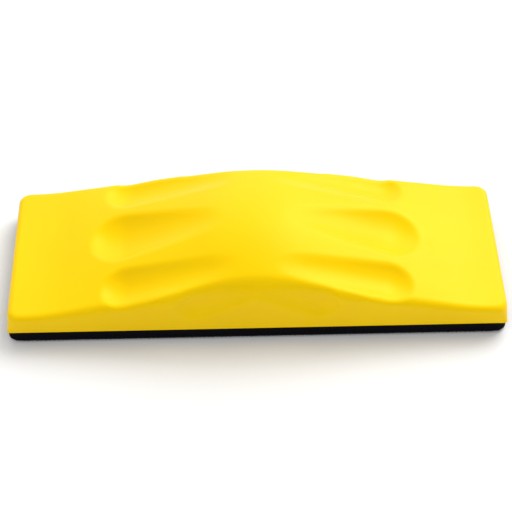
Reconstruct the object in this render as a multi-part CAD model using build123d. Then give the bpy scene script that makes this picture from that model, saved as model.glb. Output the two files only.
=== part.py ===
"""Hand sanding block for 70 x 198 mm hook-and-loop strips.

X runs along the block, Y across it and Z up. The origin is the middle of the hook face, the
underside that the paper is pressed onto, at z = 0. Sizes are in millimetres, angles in degrees.
"""
from build123d import *
import math
import os

# Outline that the paper strip fits
STRIP_LENGTH = 198.0
STRIP_WIDTH = 70.0

# Layers under the handle, from the hook face up
PILE_HEIGHT = 1.2
TAPE_THICKNESS = 0.4
TAPE_GLUE = 0.1
CUSHION_THICKNESS = 4.2
HANDLE_GLUE = 0.1
BASE_CORNER = 4.5          # plan radius of the cushion and the hook tape
PILE_MARGIN = 0.5          # selvedge of the tape that carries no hooks
GLUE_MARGIN = 0.4          # the glue films stop short of the edges

# Handle blank
END_THICKNESS = 8.1        # handle alone, on its flat ends
END_SHELF = 13.0           # flat length at each end, before the ramp
HUMP_RISE = 14.0           # top of the hump above the flat ends, along both long sides
CROWN = 6.8                # how much higher the hump is along its middle
CREST_RADIUS = 80.0
FOOT_RADIUS = 80.0
SIDE_LEAN = 3.0            # long sides and ends lean in by this angle
FOOT_CORNER = 1.2          # plan radius of the handle's corners at the glue line
SHELF_CORNER = 5.5         # the same at the height of the flat ends
TOP_FILLET = 3.0

# Finger grooves on top: front, middle and back, the same on both halves
OUTER_GROOVE_RADIUS = 14.5
OUTER_GROOVE_DEPTH = 3.2   # at the outer end, where each groove is deepest
OUTER_GROOVE_REACH = 61.0  # from the middle of the block to the end of a front or back groove
OUTER_GROOVE_FADE = 4.5    # the groove floor climbs this much more steeply than the ramp
OUTER_GROOVE_TO_SIDE = 7.8  # from a front or back groove's middle to the long side
MIDDLE_GROOVE_RADIUS = 21.0
MIDDLE_GROOVE_DEPTH = 4.2
MIDDLE_GROOVE_REACH = 66.0
MIDDLE_GROOVE_FADE = 5.8

# Fingertip hollows in the long sides, two on each side
HOLLOW_RADIUS = 17.0
HOLLOW_DEPTH = 2.0
HOLLOW_CLIMB = 23.5        # slope of the hollow's lower edge
HOLLOW_REACH = 32.0        # from the middle of the block to the hollow's end
HOLLOW_DROP = 5.0          # from the side of the ramp down to the centre of the round end

# Slack when edges are picked by their place
TOLERANCE = 0.01

# Heights that follow
TAPE_BOTTOM = PILE_HEIGHT
TAPE_TOP = TAPE_BOTTOM + TAPE_THICKNESS
CUSHION_BOTTOM = TAPE_TOP + TAPE_GLUE
CUSHION_TOP = CUSHION_BOTTOM + CUSHION_THICKNESS
HANDLE_BOTTOM = CUSHION_TOP + HANDLE_GLUE
SHELF_HEIGHT = HANDLE_BOTTOM + END_THICKNESS
RAMP_FOOT = STRIP_LENGTH / 2 - END_SHELF
CROWN_RISE = HUMP_RISE + CROWN
PEAK_HEIGHT = SHELF_HEIGHT + CROWN_RISE
OUTER_GROOVE_Y = STRIP_WIDTH / 2 - OUTER_GROOVE_TO_SIDE


def layer(bottom, thickness, margin):
    """One flat layer under the handle, smaller than the strip by a margin all round."""
    outline = RectangleRounded(
        STRIP_LENGTH - 2 * margin,
        STRIP_WIDTH - 2 * margin,
        BASE_CORNER - margin,
    )
    return extrude(Plane.XY.offset(bottom) * outline, amount=thickness)


def ramp_angle(rise):
    """Slope of the line from the ramp's foot that is tangent to the crest arc, in radians."""
    drop = CREST_RADIUS - rise
    return math.asin(CREST_RADIUS / math.hypot(RAMP_FOOT, drop)) - math.atan2(drop, RAMP_FOOT)


def hump_rib(y, rise):
    """Lengthwise section of the handle: flat end, ramp, crest, ramp and flat end."""
    apex = SHELF_HEIGHT + RAMP_FOOT * math.tan(ramp_angle(rise))
    end = STRIP_LENGTH / 2
    top = FilletPolyline(
        (-end, SHELF_HEIGHT),
        (-RAMP_FOOT, SHELF_HEIGHT),
        (0, apex),
        (RAMP_FOOT, SHELF_HEIGHT),
        (end, SHELF_HEIGHT),
        radius=[FOOT_RADIUS, CREST_RADIUS, FOOT_RADIUS],
    )
    bottom = Polyline(
        (-end, SHELF_HEIGHT),
        (-end, HANDLE_BOTTOM),
        (end, HANDLE_BOTTOM),
        (end, SHELF_HEIGHT),
    )
    return Plane.XZ.offset(-y) * make_face(top + bottom)


def side_inset(height):
    """How far a leaning side has come in at a height above the glue line."""
    return height * math.tan(math.radians(SIDE_LEAN))


def leaning_block():
    """Block with leaning sides, whose corners grow rounder with height."""
    height = PEAK_HEIGHT - HANDLE_BOTTOM
    corner_growth = (SHELF_CORNER - FOOT_CORNER) / END_THICKNESS
    foot = RectangleRounded(STRIP_LENGTH, STRIP_WIDTH, FOOT_CORNER)
    top = RectangleRounded(
        STRIP_LENGTH - 2 * side_inset(height),
        STRIP_WIDTH - 2 * side_inset(height),
        FOOT_CORNER + corner_growth * height,
    )
    sections = [Plane.XY.offset(HANDLE_BOTTOM) * foot, Plane.XY.offset(PEAK_HEIGHT) * top]
    return loft(sections, ruled=True)


def ramp_slope(y):
    """Slope of the ramp at a distance y from the middle of the block, steepest along the crown."""
    side = math.tan(ramp_angle(HUMP_RISE))
    centre = math.tan(ramp_angle(CROWN_RISE))
    crown_share = 1 - (2 * y / STRIP_WIDTH) ** 2
    return side + crown_share * (centre - side)


def ramp_height(x, y):
    """Height of the straight part of the ramp."""
    return SHELF_HEIGHT + (RAMP_FOOT - x) * ramp_slope(y)


def half_chord(radius, depth):
    """Half the width of the cut that a ball or rod makes when it is sunk to a depth."""
    return math.sqrt(2 * radius * depth - depth ** 2)


def finger_tool(radius, centre, climb):
    """Round-ended rod that starts at a centre and climbs over the middle of the block."""
    length = 2 * centre.X / math.cos(climb)
    along = Vector(-math.cos(climb), 0, math.sin(climb))
    rod = extrude(Plane(centre, z_dir=along) * Circle(radius), amount=length)
    return Pos(centre) * Sphere(radius) + rod


def groove_tool(y, reach, radius, depth, fade):
    """Cutter of one finger groove on the +X half."""
    ramp = math.atan(ramp_slope(y))
    x = reach - half_chord(radius, depth) * math.cos(ramp)
    upright = Vector(math.sin(ramp), 0, math.cos(ramp))
    centre = Vector(x, y, ramp_height(x, y)) + upright * (radius - depth)
    return finger_tool(radius, centre, ramp + math.radians(fade))


def outer_groove_tool(y):
    """Cutter of a front or back groove on the +X half."""
    return groove_tool(
        y,
        OUTER_GROOVE_REACH,
        OUTER_GROOVE_RADIUS,
        OUTER_GROOVE_DEPTH,
        OUTER_GROOVE_FADE,
    )


def middle_groove_tool():
    """Cutter of the middle groove on the +X half."""
    return groove_tool(
        0,
        MIDDLE_GROOVE_REACH,
        MIDDLE_GROOVE_RADIUS,
        MIDDLE_GROOVE_DEPTH,
        MIDDLE_GROOVE_FADE,
    )


def hollow_tool():
    """Cutter of the fingertip hollow in the front side of the +X half."""
    half = STRIP_WIDTH / 2
    x = HOLLOW_REACH - half_chord(HOLLOW_RADIUS, HOLLOW_DEPTH)
    z = ramp_height(x, half) - HOLLOW_DROP
    wall = half - side_inset(z - HANDLE_BOTTOM)
    centre = Vector(x, -(wall + HOLLOW_RADIUS - HOLLOW_DEPTH), z)
    return finger_tool(HOLLOW_RADIUS, centre, math.radians(HOLLOW_CLIMB))


def top_edges(blank):
    """Edges where the top of the blank meets its leaning sides, ends and corners."""
    end = STRIP_LENGTH / 2 - side_inset(END_THICKNESS)
    raised = [e for e in blank.edges() if e.bounding_box().min.Z > SHELF_HEIGHT - TOLERANCE]
    return [e for e in raised if abs(e.center().Y) > TOLERANCE or abs(e.center().X) > end - TOLERANCE]


def grip_body():
    """Handle: crowned hump, rounded top edges, finger grooves and fingertip hollows."""
    half = STRIP_WIDTH / 2
    ribs = [hump_rib(-half, HUMP_RISE), hump_rib(0, CROWN_RISE), hump_rib(half, HUMP_RISE)]
    blank = loft(ribs) & leaning_block()
    body = fillet(top_edges(blank), TOP_FILLET)
    tools = [
        outer_groove_tool(-OUTER_GROOVE_Y),
        middle_groove_tool(),
        outer_groove_tool(OUTER_GROOVE_Y),
        hollow_tool(),
        mirror(hollow_tool(), Plane.XZ),
    ]
    for tool in tools:
        body -= tool
        body -= mirror(tool, Plane.YZ)
    return body


def build():
    """Every piece of the block by name."""
    return {
        "hook_pile": layer(0, PILE_HEIGHT, PILE_MARGIN),
        "hook_backing": layer(TAPE_BOTTOM, TAPE_THICKNESS, 0),
        "tape_adhesive": layer(TAPE_TOP, TAPE_GLUE, GLUE_MARGIN),
        "cushion_pad": layer(CUSHION_BOTTOM, CUSHION_THICKNESS, 0),
        "body_adhesive": layer(CUSHION_TOP, HANDLE_GLUE, GLUE_MARGIN),
        "grip_body": grip_body(),
    }


if __name__ == "__main__":
    os.makedirs("parts", exist_ok=True)
    for name, piece in build().items():
        piece.label = name
        export_step(piece, f"parts/{name}.step")
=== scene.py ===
"""Hand sanding block: a yellow moulded grip on a black cushion with a hook face.

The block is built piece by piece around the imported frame. Lengths are in metres, X runs along the
block, Y across it and Z up from the hook face. The file is laid out as a Blender add-on: settings,
one operator for each piece, a sidebar panel, and a main function that runs the operators in order.
"""

import math

import bpy
import numpy as np
from bpy.props import FloatProperty, FloatVectorProperty, IntProperty, PointerProperty
from mathutils import Matrix, Vector


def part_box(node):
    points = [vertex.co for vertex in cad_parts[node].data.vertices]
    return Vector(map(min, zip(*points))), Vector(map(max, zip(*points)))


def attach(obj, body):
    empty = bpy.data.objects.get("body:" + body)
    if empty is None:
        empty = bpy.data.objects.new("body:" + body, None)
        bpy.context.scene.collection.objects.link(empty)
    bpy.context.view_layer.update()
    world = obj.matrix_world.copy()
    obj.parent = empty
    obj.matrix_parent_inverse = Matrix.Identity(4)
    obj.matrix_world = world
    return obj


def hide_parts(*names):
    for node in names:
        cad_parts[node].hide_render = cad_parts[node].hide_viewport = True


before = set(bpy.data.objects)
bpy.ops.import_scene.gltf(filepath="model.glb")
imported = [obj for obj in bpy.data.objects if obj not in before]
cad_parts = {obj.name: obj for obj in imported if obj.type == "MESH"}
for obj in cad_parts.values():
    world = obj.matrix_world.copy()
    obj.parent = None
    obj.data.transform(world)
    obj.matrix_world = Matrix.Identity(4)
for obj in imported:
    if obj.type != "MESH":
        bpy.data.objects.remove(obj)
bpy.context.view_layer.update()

bl_info = {
    "name": "Hand Sanding Block",
    "version": (1, 0, 0),
    "blender": (4, 5, 0),
    "location": "View3D > Sidebar > Sanding Block",
    "description": "Builds a hand sanding block with a moulded grip, a foam cushion and a hook face",
    "category": "Add Mesh",
}

BODY = "root"
MM = 0.001

# How finely the meshes are divided
LIP_ROWS = 7
WALL_ROWS = 28
CUSHION_STEP = 0.45 * MM
CUSHION_ROWS = 10
TAPE_COLUMNS = 60
ROWS_PER_CORD = 4
TAPE_ROWS = 2
HOOK_SIDES = 3
HOOK_BEND_STEPS = 4

# Shape of one hook, and how much its direction (radians) and its place differ from its neighbours'
HOOK_BEND = 0.3 * MM
HOOK_TIP = 0.12 * MM
HOOK_TURN_SPREAD = 0.16
HOOK_PLACE_SPREAD = 0.05 * MM

# Where the lights stand, and the side of each square lamp
KEY_PLACE, KEY_SIZE = (0.8, 0.8, 1.2), 1.1
BACK_PLACE, BACK_SIZE = (-0.1, 1.3, 1.15), 1.3
FILL_PLACE, FILL_SIZE = (-1.1, -0.9, 1.0), 1.2


# ---------------------------------------------------------------- settings


def length(name, description, default):
    """A length setting."""
    return FloatProperty(
        name=name,
        description=description,
        default=default,
        subtype="DISTANCE",
        unit="LENGTH",
        precision=5,
    )


def angle(name, description, degrees):
    """An angle setting, given in degrees."""
    return FloatProperty(
        name=name,
        description=description,
        default=math.radians(degrees),
        subtype="ANGLE",
        unit="ROTATION",
    )


def colour(name, description, default):
    """A colour setting, in linear light."""
    return FloatVectorProperty(
        name=name, description=description, default=default, subtype="COLOR", size=3, min=0.0, max=1.0
    )


class HumpSettings(bpy.types.PropertyGroup):
    """Blank of the grip before its grooves."""

    end_thickness: length("End thickness", "Grip alone, on its flat ends", 8.1 * MM)
    end_shelf: length("End shelf", "Flat length at each end", 13.0 * MM)
    rise: length("Hump rise", "Hump above the flat ends, along the long sides", 14.0 * MM)
    crown: length("Crown", "How much higher the hump is along its middle", 6.8 * MM)
    crest_radius: length("Crest radius", "Lengthwise radius of the hump's top", 80.0 * MM)
    foot_radius: length("Foot radius", "Lengthwise radius where the ramps start", 80.0 * MM)
    lean: angle("Side lean", "How far the sides lean in", 3.0)
    foot_corner: length("Foot corner", "Plan radius of the corners at the glue line", 1.2 * MM)
    shelf_corner: length("Shelf corner", "Plan radius of the corners at the flat ends", 5.5 * MM)
    edge_at_ends: length("End edge", "Rounding of the top edge at the flat ends", 2.2 * MM)
    edge_at_crest: length("Crest edge", "Rounding of the top edge at the crest", 4.5 * MM)
    lip_height: length("Lip height", "Height of the moulded lip along the glue line", 0.7 * MM)
    lip_depth: length("Lip depth", "How far the walls stand back from the lip", 0.2 * MM)
    mesh_step: length("Mesh step", "Spacing of the grip's mesh", 0.8 * MM)


class GripMarkSettings(bpy.types.PropertyGroup):
    """Finger grooves on the top and fingertip hollows in the sides."""

    groove_rim: length("Groove rim", "Softening of the groove rims", 0.8 * MM)
    outer_radius: length("Outer groove radius", "Radius of the front and back grooves", 14.5 * MM)
    outer_depth: length("Outer groove depth", "Depth of the front and back grooves", 3.2 * MM)
    outer_reach: length("Outer groove reach", "From the middle to an outer groove's end", 61.0 * MM)
    outer_fade: angle("Outer groove fade", "How much steeper it climbs than the ramp", 4.5)
    outer_to_side: length("Outer groove to side", "From its middle to the long side", 7.8 * MM)
    middle_radius: length("Middle groove radius", "Radius of the middle groove", 21.0 * MM)
    middle_depth: length("Middle groove depth", "Depth of the middle groove", 4.2 * MM)
    middle_reach: length("Middle groove reach", "From the middle to the groove's end", 66.0 * MM)
    middle_fade: angle("Middle groove fade", "How much steeper it climbs than the ramp", 5.8)
    hollow_radius: length("Hollow radius", "Radius of the side hollows", 17.0 * MM)
    hollow_depth: length("Hollow depth", "Depth of the side hollows", 2.0 * MM)
    hollow_climb: angle("Hollow climb", "Slope of the hollow's lower edge", 23.5)
    hollow_reach: length("Hollow reach", "From the block's middle to the hollow's end", 32.0 * MM)
    hollow_drop: length("Hollow drop", "From the ramp's side down to the round end's centre", 5.0 * MM)
    hollow_rim: length("Hollow rim", "Softening of the hollow rims", 0.35 * MM)


class BaseSettings(bpy.types.PropertyGroup):
    """Cushion and hook tape under the grip."""

    corner: length("Base corner", "Plan radius of the cushion and the tape", 4.5 * MM)
    cut_hollow: length("Cut hollow", "How far the cushion's cut edge is drawn in", 0.25 * MM)
    cut_grain: length("Cut grain", "Height of the grain on the cushion's cut edge", 0.12 * MM)
    hook_pitch: length("Hook pitch", "Spacing of the hooks", 1.7 * MM)
    wire_radius: length("Hook wire radius", "Radius of the nylon wire", 0.11 * MM)
    cord_depth: length("Cord depth", "Depth of the grooves between the tape's cords", 0.08 * MM)


class FinishSettings(bpy.types.PropertyGroup):
    """Colours of the pieces."""

    skin: colour("Grip skin", "Yellow of the moulded grip", (0.925, 0.607, 0.0))
    foam: colour("Cushion foam", "Black of the cushion", (0.0015, 0.0015, 0.0025))
    tape: colour("Hook tape", "Black of the woven tape", (0.0025, 0.0025, 0.0035))
    nylon: colour("Hook nylon", "Black of the hooks", (0.004, 0.004, 0.005))
    glue: colour("Glue", "Amber of the glue films", (0.42, 0.30, 0.13))
    floor: colour("Floor", "Pale studio floor", (0.86, 0.86, 0.86))


class StageSettings(bpy.types.PropertyGroup):
    """Camera, lights and floor."""

    camera_turn: angle("Camera turn", "Camera's turn round the block, from straight in front", -1.52)
    camera_height: angle("Camera height", "Camera's angle above the floor", 48.27)
    camera_distance: length("Camera distance", "From the camera to the point it looks at", 0.608)
    aim_right: length("Aim right", "Point looked at, from the middle of the block", 0.3 * MM)
    aim_back: length("Aim back", "Point looked at, behind the middle of the block", 8.6 * MM)
    focal_length: FloatProperty(name="Focal length", description="Lens in millimetres", default=102.4)
    floor_size: length("Floor size", "Side of the square floor", 6.0)
    key_power: FloatProperty(name="Key power", description="Key light in watts", default=20.0)
    back_power: FloatProperty(name="Back power", description="Back light in watts", default=6.0)
    fill_power: FloatProperty(name="Fill power", description="Fill light in watts", default=3.0)
    sky: FloatProperty(name="Sky", description="Strength of the even light from all round", default=0.68)
    seed: IntProperty(name="Seed", description="Start of the small differences between hooks", default=7)


# ---------------------------------------------------------------- shape of the grip


def rounded_meet(a, b, radius):
    """Distance to what lies inside both a and b, with the edge where they meet rounded."""
    outside = np.hypot(np.maximum(a + radius, 0), np.maximum(b + radius, 0))
    return np.minimum(np.maximum(a, b), -radius) + outside


def rod_distance(points, start, end, radius):
    """Distance to a round-ended rod."""
    along = end - start
    share = np.clip((points - start) @ along / (along @ along), 0, 1)
    return np.linalg.norm(points - start - share[:, None] * along, axis=1) - radius


def half_chord(radius, depth):
    """Half the width of the cut that a ball or rod makes when it is sunk to a depth."""
    return math.sqrt(2 * radius * depth - depth**2)


def ramp_angle(foot, rise, crest):
    """Slope of the line from the ramp's foot that is tangent to the crest arc."""
    drop = crest - rise
    return math.asin(crest / math.hypot(foot, drop)) - math.atan2(drop, foot)


def rib_height(x, foot, rise, crest, bend):
    """Height above the flat ends of a rib made of crest arc, straight ramp, foot arc and flat end."""
    slope = ramp_angle(foot, rise, crest)
    tangent = bend * math.tan(slope / 2)
    on_crest = rise - crest + np.sqrt(crest**2 - np.minimum(x, crest) ** 2)
    on_ramp = (foot - x) * math.tan(slope)
    on_bend = bend - np.sqrt(bend**2 - np.minimum(foot + tangent - x, bend) ** 2)
    ends = [crest * math.sin(slope), foot - tangent * math.cos(slope), foot + tangent]
    return np.select([x < end for end in ends], [on_crest, on_ramp, on_bend], 0.0)


class GripShape:
    """The grip as a distance field: negative inside, zero on its surface."""

    def __init__(self, hump, marks):
        low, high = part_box("grip_body")
        self.hump = hump
        self.marks = marks
        self.low = low
        self.high = high
        self.half_length = high.x
        self.half_width = high.y
        self.base = low.z
        self.shelf = low.z + hump.end_thickness
        self.foot = high.x - hump.end_shelf
        self.grooves = self.mirrored(self.groove_rods())
        self.hollows = self.mirrored(self.hollow_rods())

    def top(self, x, y):
        """Height of the crowned top before the grooves."""
        hump = self.hump
        side = rib_height(np.abs(x), self.foot, hump.rise, hump.crest_radius, hump.foot_radius)
        middle = rib_height(
            np.abs(x), self.foot, hump.rise + hump.crown, hump.crest_radius, hump.foot_radius
        )
        return self.shelf + side + (1 - (y / self.half_width) ** 2) * (middle - side)

    def ramp(self, x, y):
        """Height and slope of the straight ramp."""
        hump = self.hump
        side = math.tan(ramp_angle(self.foot, hump.rise, hump.crest_radius))
        middle = math.tan(ramp_angle(self.foot, hump.rise + hump.crown, hump.crest_radius))
        slope = side + (1 - (y / self.half_width) ** 2) * (middle - side)
        return self.shelf + (self.foot - x) * slope, slope

    def rod(self, centre, climb, radius):
        """Start, end and radius of a finger rod that climbs over the middle of the block."""
        start = np.array(centre)
        along = np.array([-math.cos(climb), 0.0, math.sin(climb)])
        return start, start + along * 2 * start[0] / math.cos(climb), radius

    def groove_rods(self):
        """Rods that press the front, middle and back finger grooves on the +X half."""
        marks = self.marks
        side = self.half_width - marks.outer_to_side
        outer = (marks.outer_reach, marks.outer_radius, marks.outer_depth, marks.outer_fade)
        middle = (marks.middle_reach, marks.middle_radius, marks.middle_depth, marks.middle_fade)
        rods = []
        for y, (reach, radius, depth, fade) in ((-side, outer), (0.0, middle), (side, outer)):
            ramp = math.atan(self.ramp(reach, y)[1])
            x = reach - half_chord(radius, depth) * math.cos(ramp)
            raised = radius - depth
            centre = (x + raised * math.sin(ramp), y, self.ramp(x, y)[0] + raised * math.cos(ramp))
            rods.append(self.rod(centre, ramp + fade, radius))
        return rods

    def hollow_rods(self):
        """Rods that press the fingertip hollows on the +X half, front and back."""
        marks = self.marks
        x = marks.hollow_reach - half_chord(marks.hollow_radius, marks.hollow_depth)
        z = self.ramp(x, self.half_width)[0] - marks.hollow_drop
        wall = self.half_width - (z - self.base) * math.tan(self.hump.lean)
        y = wall + marks.hollow_radius - marks.hollow_depth
        return [self.rod((x, side * y, z), marks.hollow_climb, marks.hollow_radius) for side in (-1, 1)]

    @staticmethod
    def mirrored(rods):
        """The rods and their mirror images on the -X half."""
        flip = np.array([-1.0, 1.0, 1.0])
        return rods + [(start * flip, end * flip, radius) for start, end, radius in rods]

    def distance(self, points):
        """Signed distance from points to the grip's surface, near enough for settling a mesh on it."""
        hump = self.hump
        x, y, z = points.T
        above = z - self.base
        lip = hump.lip_depth * np.exp(-(((above - hump.lip_height / 2) / (hump.lip_height / 3)) ** 2))
        inset = above * math.tan(hump.lean) + hump.lip_depth - lip
        growth = (hump.shelf_corner - hump.foot_corner) / hump.end_thickness
        corner = hump.foot_corner + growth * np.clip(above, 0, 2 * hump.end_thickness)
        side = np.abs(y) - self.half_width + inset
        for start, end, radius in self.hollows:
            side = rounded_meet(side, -rod_distance(points, start, end, radius), self.marks.hollow_rim)
        walls = rounded_meet(side, np.abs(x) - self.half_length + inset, corner)
        top = z - self.top(x, y)
        for start, end, radius in self.grooves:
            top = rounded_meet(top, -rod_distance(points, start, end, radius), self.marks.groove_rim)
        nearness = np.clip(1 - np.abs(x) / self.foot, 0, 1)
        edge = hump.edge_at_ends + (hump.edge_at_crest - hump.edge_at_ends) * nearness
        return rounded_meet(top, walls, edge)

    def settle(self, points, rounds=14, reach=2.0 * MM, probe=0.01 * MM):
        """Moves points straight onto the surface."""
        for _ in range(rounds):
            gap = self.distance(points)
            slope = np.stack(
                [(self.distance(points + step) - self.distance(points - step)) / (2 * probe)
                 for step in np.eye(3) * probe],
                axis=1,
            )
            move = gap / np.maximum((slope**2).sum(axis=1), 0.25)
            points = points - np.clip(move, -reach, reach)[:, None] * slope
            points[:, 2] = np.clip(points[:, 2], self.base, self.high.z - 0.001 * MM)
        return points


# ---------------------------------------------------------------- mesh helpers


def shell_faces(nx, ny, nz):
    """Faces of a closed box and their lattice points: quads on top and walls, one face underneath."""
    index = {}

    def at(i, j, k):
        return index.setdefault((i, j, k), len(index))

    faces = []
    for i in range(nx):
        for j in range(ny):
            faces.append((at(i, j, nz), at(i + 1, j, nz), at(i + 1, j + 1, nz), at(i, j + 1, nz)))
    rim = [(i, 0) for i in range(nx)] + [(nx, j) for j in range(ny)]
    rim += [(i, ny) for i in range(nx, 0, -1)] + [(0, j) for j in range(ny, 0, -1)]
    for a, b in zip(rim, rim[1:] + rim[:1]):
        for k in range(nz):
            faces.append((at(*a, k), at(*b, k), at(*b, k + 1), at(*a, k + 1)))
    faces.append([at(*place, 0) for place in reversed(rim)])
    return faces, np.array(list(index), float)


def new_piece(name, points, faces, sharp_from=40.0):
    """A mesh object with smooth faces and sharp edges above an angle in degrees."""
    mesh = bpy.data.meshes.new(name)
    mesh.from_pydata(np.asarray(points).tolist(), [], faces)
    mesh.validate()
    mesh.shade_smooth()
    mesh.set_sharp_from_angle(angle=math.radians(sharp_from))
    piece = bpy.data.objects.new(name, mesh)
    bpy.context.scene.collection.objects.link(piece)
    return piece


def place_piece(piece, material, slot, *nodes):
    """Gives a piece its material and its place in the frame."""
    piece.data.materials.clear()
    piece.data.materials.append(material)
    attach(piece, BODY)
    if nodes:
        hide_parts(*nodes)


def corner_gap(x, y, half_x, half_y, radius):
    """Distance outside a rectangle with rounded corners, negative inside."""
    return rounded_meet(np.abs(x) - half_x, np.abs(y) - half_y, radius)


def pulled_in(points, half_x, half_y, radius):
    """Points of a square-cornered slab, with its corners pulled in to a rounded outline."""
    centre = np.array([half_x - radius, half_y - radius])
    plan = np.abs(points[:, :2]) - centre
    both = (plan > 0).all(axis=1)
    reach = np.linalg.norm(plan, axis=1)
    longest = plan.max(axis=1)
    plan[both] *= (longest / np.maximum(reach, 1e-9))[both, None]
    moved = points.copy()
    moved[:, :2] = np.where(both[:, None], np.sign(points[:, :2]) * (centre + plan), points[:, :2])
    return moved


def rounded_outline(half_x, half_y, radius, step):
    """Points and outward directions round a rectangle with rounded corners, about a step apart."""
    places, outward = [], []
    for quarter in range(4):
        turn = quarter * math.pi / 2
        along_x = quarter % 2 == 0
        ux, uy = (1 if quarter in (0, 3) else -1), (1 if quarter < 2 else -1)
        centre = np.array([ux * (half_x - radius), uy * (half_y - radius)])
        arc_steps = max(4, round(radius * math.pi / 2 / step))
        for i in range(arc_steps):
            way = turn + i / arc_steps * math.pi / 2
            direction = np.array([math.cos(way), math.sin(way)])
            places.append(centre + radius * direction)
            outward.append(direction)
        run = 2 * ((half_x if along_x else half_y) - radius)
        direction = np.array([math.cos(turn + math.pi / 2), math.sin(turn + math.pi / 2)])
        ahead = np.array([-direction[1], direction[0]])
        run_steps = round(run / step)
        for i in range(run_steps):
            places.append(centre + radius * direction + ahead * run * i / run_steps)
            outward.append(direction)
    return np.array(places), np.array(outward)


# ---------------------------------------------------------------- materials


class Finish:
    """A node material under construction, with shapes placed by object coordinates."""

    def __init__(self, name, roughness, specular=0.5):
        self.material = bpy.data.materials.new(name)
        self.material.use_nodes = True
        self.tree = self.material.node_tree
        self.shader = self.tree.nodes["Principled BSDF"]
        self.shader.inputs["Roughness"].default_value = roughness
        self.shader.inputs["Specular IOR Level"].default_value = specular
        self.place = self.tree.nodes.new("ShaderNodeTexCoord").outputs["Object"]

    def node(self, kind, inputs=(), **values):
        """Adds a node, sets its values and links or sets its inputs."""
        made = self.tree.nodes.new(kind)
        for name, value in values.items():
            setattr(made, name, value)
        for name, value in dict(inputs).items():
            if isinstance(value, bpy.types.NodeSocket):
                self.tree.links.new(value, made.inputs[name])
            else:
                made.inputs[name].default_value = value
        return made

    def noise(self, scale, detail=3.0, roughness=0.5):
        """Noise with a number of grains in a metre."""
        inputs = {"Vector": self.place, "Scale": scale, "Detail": detail, "Roughness": roughness}
        return self.node("ShaderNodeTexNoise", inputs).outputs["Fac"]

    def cells(self, scale, feature="F1"):
        """Distance to the middle of scattered cells."""
        inputs = {"Vector": self.place, "Scale": scale}
        return self.node("ShaderNodeTexVoronoi", inputs, feature=feature).outputs["Distance"]

    def ramp(self, factor, low, high, low_at=0.3, high_at=0.7):
        """Turns a factor into a colour between low and high."""
        made = self.node("ShaderNodeValToRGB", {"Fac": factor})
        for element, place, shade in zip(made.color_ramp.elements, (low_at, high_at), (low, high)):
            element.position = place
            element.color = (*shade, 1.0)
        return made.outputs["Color"]

    def spread(self, factor, low, high):
        """Maps a factor from 0-1 to low-high."""
        inputs = {"Value": factor, "To Min": low, "To Max": high}
        return self.node("ShaderNodeMapRange", inputs).outputs["Result"]

    def drive(self, name, socket):
        """Lets a pattern drive one of the shader's inputs."""
        self.tree.links.new(socket, self.shader.inputs[name])

    def bump(self, layers):
        """Stacks bumps, each a height pattern and its depth in metres."""
        normal = None
        for height, depth in layers:
            inputs = {"Height": height, "Distance": depth, "Strength": 1.0}
            if normal:
                inputs["Normal"] = normal
            normal = self.node("ShaderNodeBump", inputs).outputs["Normal"]
        self.drive("Normal", normal)


def shaded(base, factor):
    """A colour made lighter or darker."""
    return tuple(min(1.0, channel * factor) for channel in base)


def skin_finish(base):
    """Satin moulded skin with a faint pebble and cloudy colour."""
    finish = Finish("grip_skin", 0.4, 0.3)
    finish.shader.inputs["Specular Tint"].default_value = (1.0, 0.8, 0.05, 1.0)
    finish.shader.inputs["Coat Weight"].default_value = 0.06
    finish.shader.inputs["Coat Roughness"].default_value = 0.32
    deep = (base[0] * 0.97, base[1] * 0.95, base[2])
    finish.drive("Base Color", finish.ramp(finish.noise(28, 4), deep, base))
    finish.drive("Roughness", finish.spread(finish.noise(160, 5), 0.34, 0.48))
    finish.bump([(finish.noise(1100, 2), 0.012 * MM), (finish.noise(260, 3), 0.03 * MM)])
    return finish.material


def foam_finish(base):
    """Closed-cell foam with small cut cells, darker in the cell pits as painted shade."""
    finish = Finish("cushion_foam", 0.85, 0.04)
    cells = finish.cells(2600)
    # The colour follows the bump: the cell pits are darkened as painted shade and the rims between them
    # are lighter.
    finish.drive("Base Color", finish.ramp(cells, shaded(base, 0.4), shaded(base, 2.2), 0.05, 0.5))
    finish.drive("Roughness", finish.spread(finish.noise(900), 0.7, 0.95))
    finish.bump([(cells, 0.12 * MM), (finish.noise(700, 4), 0.1 * MM)])
    return finish.material


def tape_finish(base):
    """Woven nylon tape, darker in the grooves of the weave as painted shade."""
    finish = Finish("hook_tape", 0.7, 0.06)
    weft = finish.node(
        "ShaderNodeTexWave",
        {"Vector": finish.place, "Scale": 370.0, "Distortion": 0.6, "Detail": 1.0},
        bands_direction="X",
    ).outputs["Fac"]
    # The colour follows the weave's bump: the grooves are darkened as painted shade and the raised
    # threads are lighter.
    finish.drive("Base Color", finish.ramp(weft, shaded(base, 0.5), shaded(base, 2.0), 0.1, 0.9))
    finish.drive("Roughness", finish.spread(finish.noise(1500), 0.55, 0.8))
    finish.bump([(weft, 0.06 * MM), (finish.noise(4000), 0.02 * MM)])
    finish.shader.inputs["Sheen Weight"].default_value = 0.15
    return finish.material


def nylon_finish(base):
    """Drawn nylon wire of the hooks."""
    finish = Finish("hook_nylon", 0.4, 0.2)
    finish.drive("Base Color", finish.ramp(finish.noise(600), shaded(base, 0.7), shaded(base, 1.8)))
    finish.drive("Roughness", finish.spread(finish.noise(2500), 0.3, 0.5))
    finish.bump([(finish.noise(6000), 0.008 * MM)])
    return finish.material


def glue_finish(base):
    """Dried contact glue."""
    finish = Finish("dried_glue", 0.35)
    finish.drive("Base Color", finish.ramp(finish.noise(350, 4), shaded(base, 0.6), shaded(base, 1.15)))
    finish.drive("Roughness", finish.spread(finish.noise(800), 0.25, 0.5))
    finish.bump([(finish.noise(500), 0.05 * MM)])
    return finish.material


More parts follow.
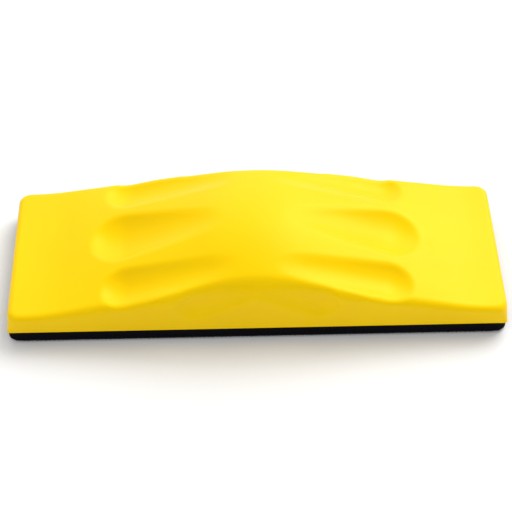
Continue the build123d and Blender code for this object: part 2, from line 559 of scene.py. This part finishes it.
def floor_finish(base):
    """Pale painted studio floor."""
    finish = Finish("studio_floor", 0.7, 0.2)
    finish.drive("Base Color", finish.ramp(finish.noise(3, 2), shaded(base, 0.99), base))
    finish.bump([(finish.noise(90, 3), 0.02 * MM)])
    return finish.material


# ---------------------------------------------------------------- operators


class SANDING_OT_make_grip(bpy.types.Operator):
    """Mould the yellow grip with its hump, finger grooves and fingertip hollows"""

    bl_idname = "sanding.make_grip"
    bl_label = "Make Grip"

    def execute(self, context):
        hump = context.scene.sanding_hump
        shape = GripShape(hump, context.scene.sanding_marks)
        span = shape.high - shape.low
        counts = [round(span.x / hump.mesh_step), round(span.y / hump.mesh_step), LIP_ROWS + WALL_ROWS]
        faces, lattice = shell_faces(*counts)
        i, j, k = lattice.T
        x = shape.low.x + span.x * i / counts[0]
        y = shape.low.y + span.y * j / counts[1]
        lip_top = 1.5 * hump.lip_height
        wall = shape.top(x, y) - shape.base - lip_top
        z = np.where(
            k <= LIP_ROWS,
            k / LIP_ROWS * lip_top,
            lip_top + wall * (k - LIP_ROWS) / WALL_ROWS,
        )
        points = shape.settle(np.stack([x, y, shape.base + z], axis=1))
        points[k == 0, 2] = shape.base
        grip = new_piece("grip", points, faces)
        place_piece(grip, skin_finish(context.scene.sanding_finish.skin), "grip_skin", "grip_body")
        return {"FINISHED"}


class SANDING_OT_make_glue(bpy.types.Operator):
    """Finish the glue films between the grip, the cushion and the tape"""

    bl_idname = "sanding.make_glue"
    bl_label = "Make Glue Films"

    def execute(self, context):
        material = glue_finish(context.scene.sanding_finish.glue)
        for node in ("body_adhesive", "tape_adhesive"):
            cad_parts[node].data.materials.clear()
            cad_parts[node].data.materials.append(material)
        return {"FINISHED"}


class SANDING_OT_make_cushion(bpy.types.Operator):
    """Cut the black foam cushion, with its drawn-in, grainy edge"""

    bl_idname = "sanding.make_cushion"
    bl_label = "Make Cushion"

    def execute(self, context):
        base = context.scene.sanding_base
        low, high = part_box("cushion_pad")
        places, outward = rounded_outline(high.x, high.y, base.corner, CUSHION_STEP)
        rows = CUSHION_ROWS
        grain = np.random.default_rng(context.scene.sanding_stage.seed)
        rings = []
        for row in range(rows + 1):
            share = row / rows
            drawn = base.cut_hollow * math.sin(math.pi * share) ** 0.7
            ragged = base.cut_grain * grain.random(len(places)) * (0 < row < rows)
            plan = places - outward * (drawn + ragged)[:, None]
            height = np.full((len(places), 1), low.z + (high.z - low.z) * share)
            rings.append(np.hstack([plan, height]))
        count = len(places)
        faces = []
        for row in range(rows):
            for i in range(count):
                j = (i + 1) % count
                below, above = row * count, (row + 1) * count
                faces.append((below + i, below + j, above + j, above + i))
        faces.append(list(reversed(range(count))))
        faces.append(list(range(rows * count, (rows + 1) * count)))
        cushion = new_piece("cushion", np.vstack(rings), faces, 60.0)
        foam = foam_finish(context.scene.sanding_finish.foam)
        place_piece(cushion, foam, "cushion_foam", "cushion_pad")
        return {"FINISHED"}


class SANDING_OT_make_tape(bpy.types.Operator):
    """Weave the hook tape, with its lengthwise cords"""

    bl_idname = "sanding.make_tape"
    bl_label = "Make Hook Tape"

    def execute(self, context):
        base = context.scene.sanding_base
        low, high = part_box("hook_backing")
        cord = base.hook_pitch / 2
        counts = [TAPE_COLUMNS, ROWS_PER_CORD * round((high.y - low.y) / cord), TAPE_ROWS]
        faces, lattice = shell_faces(*counts)
        i, j, k = lattice.T
        x = low.x + (high.x - low.x) * i / counts[0]
        y = low.y + (high.y - low.y) * j / counts[1]
        dip = base.cord_depth * (0.5 - 0.5 * np.cos(2 * math.pi * y / cord)) * (k == counts[2])
        z = high.z - (high.z - low.z) * k / counts[2] + dip
        points = pulled_in(np.stack([x, y, z], axis=1), high.x, high.y, base.corner)
        tape = new_piece("tape", points, [list(reversed(face)) for face in faces], 60.0)
        place_piece(tape, tape_finish(context.scene.sanding_finish.tape), "hook_tape", "hook_backing")
        return {"FINISHED"}


class SANDING_OT_make_hooks(bpy.types.Operator):
    """Set the field of small nylon hooks under the tape"""

    bl_idname = "sanding.make_hooks"
    bl_label = "Make Hooks"

    def execute(self, context):
        base = context.scene.sanding_base
        low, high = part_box("hook_pile")
        wire = base.wire_radius
        bend = HOOK_BEND
        bend_height = low.z + wire + bend
        line = [(0.0, high.z, 0.0), (0.0, bend_height, 0.0)]
        for step in range(1, HOOK_BEND_STEPS + 1):
            way = math.pi * step / HOOK_BEND_STEPS
            line.append((bend * (1 - math.cos(way)), bend_height - bend * math.sin(way), way))
        line.append((2 * bend, bend_height + HOOK_TIP, math.pi))
        sides = HOOK_SIDES
        template = []
        for out, height, way in line:
            for side in range(sides):
                turn = 2 * math.pi * side / sides
                across, sideways = wire * math.cos(turn), wire * math.sin(turn)
                x, z = out - across * math.cos(way), height - across * math.sin(way)
                template.append((x, sideways, z))
        template = np.array(template)
        rings = len(line)
        faces = [tuple(sides * (rings - 1) + side for side in range(sides))]
        for ring in range(rings - 1):
            for side in range(sides):
                a, b = ring * sides + side, ring * sides + (side + 1) % sides
                faces.append((a, b, b + sides, a + sides))
        pitch = base.hook_pitch
        margin = 1.5 * (bend + wire)
        reach_x, reach_y = high.x - margin, high.y - margin / 2
        columns = np.linspace(-reach_x, reach_x, round(2 * reach_x / pitch) + 1)
        rows = np.linspace(-reach_y, reach_y, round(2 * reach_y / pitch) + 1)
        spread = np.random.default_rng(context.scene.sanding_stage.seed)
        points, all_faces = [], []
        for row, y in enumerate(rows):
            facing = 0.0 if row % 2 else math.pi
            for x in columns:
                yaw = facing + spread.normal(0, HOOK_TURN_SPREAD)
                shift = spread.normal(0, HOOK_PLACE_SPREAD, 2)
                if corner_gap(x, y, high.x, high.y, base.corner) > -margin / 2:
                    continue
                turn = Matrix.Rotation(yaw, 3, "Z")
                moved = (template - (bend, 0, 0)) @ np.array(turn).T + (x + shift[0], y + shift[1], 0)
                start = len(points) * len(template)
                points.append(moved)
                all_faces += [tuple(start + corner for corner in face) for face in faces]
        hooks = new_piece("hooks", np.vstack(points), all_faces, 180.0)
        place_piece(hooks, nylon_finish(context.scene.sanding_finish.nylon), "hook_nylon", "hook_pile")
        return {"FINISHED"}


class SANDING_OT_make_stage(bpy.types.Operator):
    """Lay the pale floor and set the soft lights and the camera"""

    bl_idname = "sanding.make_stage"
    bl_label = "Make Stage"

    def execute(self, context):
        scene = context.scene
        stage = scene.sanding_stage
        self.lay_floor(scene, stage)
        self.light(scene, "key", KEY_PLACE, KEY_SIZE, stage.key_power)
        self.light(scene, "back", BACK_PLACE, BACK_SIZE, stage.back_power)
        self.light(scene, "fill", FILL_PLACE, FILL_SIZE, stage.fill_power)
        world = bpy.data.worlds.new("studio")
        world.use_nodes = True
        sky = world.node_tree.nodes["Background"]
        sky.inputs["Color"].default_value = (1.0, 1.0, 1.0, 1.0)
        sky.inputs["Strength"].default_value = stage.sky
        scene.world = world
        scene.view_settings.view_transform = "Standard"
        self.set_camera(scene, stage)
        return {"FINISHED"}

    def lay_floor(self, scene, stage):
        half = stage.floor_size / 2
        corners = [(-half, -half, 0), (half, -half, 0), (half, half, 0), (-half, half, 0)]
        floor = new_piece("floor", corners, [(0, 1, 2, 3)])
        floor.data.materials.append(floor_finish(scene.sanding_finish.floor))

    def light(self, scene, name, place, size, power):
        lamp = bpy.data.lights.new(name, "AREA")
        lamp.size = size
        lamp.energy = power
        holder = bpy.data.objects.new(name, lamp)
        holder.location = place
        holder.rotation_euler = Vector(place).to_track_quat("Z", "Y").to_euler()
        scene.collection.objects.link(holder)

    def set_camera(self, scene, stage):
        turn, height = stage.camera_turn, stage.camera_height
        back = Vector((
            math.sin(turn) * math.cos(height),
            -math.cos(turn) * math.cos(height),
            math.sin(height),
        ))
        lens = bpy.data.cameras.new("camera")
        lens.lens = stage.focal_length
        lens.clip_start = 0.01
        camera = bpy.data.objects.new("camera", lens)
        camera.location = Vector((stage.aim_right, stage.aim_back, 0)) + back * stage.camera_distance
        camera.rotation_euler = back.to_track_quat("Z", "Y").to_euler()
        scene.collection.objects.link(camera)
        scene.camera = camera


class SANDING_PT_panel(bpy.types.Panel):
    """Sidebar panel that lists the pieces"""

    bl_label = "Sanding Block"
    bl_idname = "SANDING_PT_panel"
    bl_space_type = "VIEW_3D"
    bl_region_type = "UI"
    bl_category = "Sanding Block"

    def draw(self, context):
        for operator in MAKERS:
            self.layout.operator(operator.bl_idname)


# ---------------------------------------------------------------- registration

SETTINGS = {
    "sanding_hump": HumpSettings,
    "sanding_marks": GripMarkSettings,
    "sanding_base": BaseSettings,
    "sanding_finish": FinishSettings,
    "sanding_stage": StageSettings,
}
MAKERS = (
    SANDING_OT_make_grip,
    SANDING_OT_make_glue,
    SANDING_OT_make_cushion,
    SANDING_OT_make_tape,
    SANDING_OT_make_hooks,
    SANDING_OT_make_stage,
)


def register():
    """Registers the settings, operators and panel."""
    for made in (*SETTINGS.values(), *MAKERS, SANDING_PT_panel):
        bpy.utils.register_class(made)
    for name, group in SETTINGS.items():
        setattr(bpy.types.Scene, name, PointerProperty(type=group))


def unregister():
    """Removes what register added."""
    for name in SETTINGS:
        delattr(bpy.types.Scene, name)
    for made in reversed((*SETTINGS.values(), *MAKERS, SANDING_PT_panel)):
        bpy.utils.unregister_class(made)


def main():
    """Builds the block."""
    register()
    bpy.ops.sanding.make_grip()
    bpy.ops.sanding.make_glue()
    bpy.ops.sanding.make_cushion()
    bpy.ops.sanding.make_tape()
    bpy.ops.sanding.make_hooks()
    bpy.ops.sanding.make_stage()


if __name__ == "__main__":
    main()
